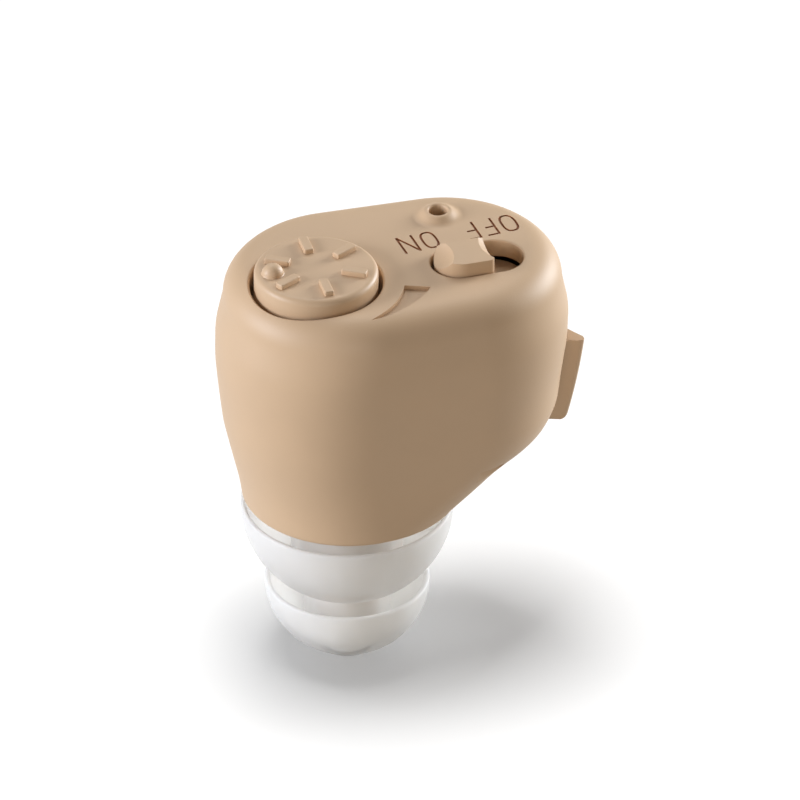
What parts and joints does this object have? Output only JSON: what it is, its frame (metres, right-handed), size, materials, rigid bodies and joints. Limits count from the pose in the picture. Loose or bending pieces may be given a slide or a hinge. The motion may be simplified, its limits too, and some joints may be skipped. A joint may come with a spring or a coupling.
{
  "type": "in-the-ear hearing aid",
  "caption": "In-the-ear hearing aid with a volume dial, an ON/OFF slider and a microphone port in its faceplate, a swing-out battery door and a soft two-flange ear tip.",
  "frame": {"origin": "the sound outlet at the ear tip's end, on the tip's axis", "axes": "+Z along the tip's axis up to the faceplate, +X towards the battery door's end, the nail tab's flat face looks nearly along -Y"},
  "size_m": [0.0206, 0.0138, 0.0264],
  "materials": {
    "moulding": "satin moulded beige",
    "nozzle_plastic": "satin beige",
    "silicone": "milky translucent, soft satin",
    "white_plastic": "satin",
    "black_plastic": "satin",
    "bright_metal": "satin nickel",
    "tinned_metal": "bright tin",
    "screen_mesh": "fine dark mesh",
    "dark_rubber": "matte",
    "red_insulation": "gloss",
    "blue_insulation": "gloss",
    "clear_tube": "satin",
    "board_green": "solder resist",
    "ceramic_tan": "ceramic",
    "cell_steel": "bright nickel",
    "gasket_green": "satin",
    "cell_filling": "compact powder",
    "spring_brass": "satin gold plate"
  },
  "bodies": {
    "shell": {"main_shell": "moulding", "underside_cover": "moulding", "nozzle": "nozzle_plastic", "wax_guard": "white_plastic", "potentiometer_case": "bright_metal", "potentiometer_pins": "tinned_metal", "switch_case": "bright_metal", "switch_pins": "tinned_metal", "microphone_capsule": "bright_metal", "microphone_boot": "dark_rubber", "microphone_screen": "screen_mesh", "microphone_leads": "red_insulation", "receiver": "bright_metal", "receiver_boot": "dark_rubber", "sound_tube": "clear_tube", "receiver_leads": "blue_insulation", "circuit_board": "board_green", "amplifier_chip": "black_plastic", "capacitors": "ceramic_tan", "resistors": "black_plastic", "board_screws": "tinned_metal", "door_hinge_pin": "tinned_metal", "battery_contact_positive": "spring_brass", "battery_contact_negative": "spring_brass"},
    "dial": {"volume_dial": "moulding", "potentiometer_rotor": "white_plastic"},
    "slider": {"power_slider": "moulding", "switch_actuator": "black_plastic"},
    "door": {"battery_door": "moulding", "battery_can": "cell_steel", "battery_gasket": "gasket_green", "battery_cap": "cell_steel", "battery_filling": "cell_filling"},
    "tip": {"ear_tip": "silicone"}
  },
  "joints": [
    {"name": "volume_turn", "type": "hinge", "parent": "shell", "child": "dial", "pos_m": [-0.00206, -0.00097, 0.0245], "axis": [0, 0, 1], "range_deg": [-130, 130]},
    {"name": "power_slide", "type": "slide", "parent": "shell", "child": "slider", "axis": [1, 0, 0], "range_m": [0, 0.001]},
    {"name": "door_swing", "type": "hinge", "parent": "shell", "child": "door", "pos_m": [0.003, 0.0051, 0.0164], "axis": [0, 0, 1], "range_deg": [0, 90]},
    {"name": "tip_pull", "type": "slide", "parent": "shell", "child": "tip", "axis": [0, 0, -1], "range_m": [0, 0.009]}
  ]
}
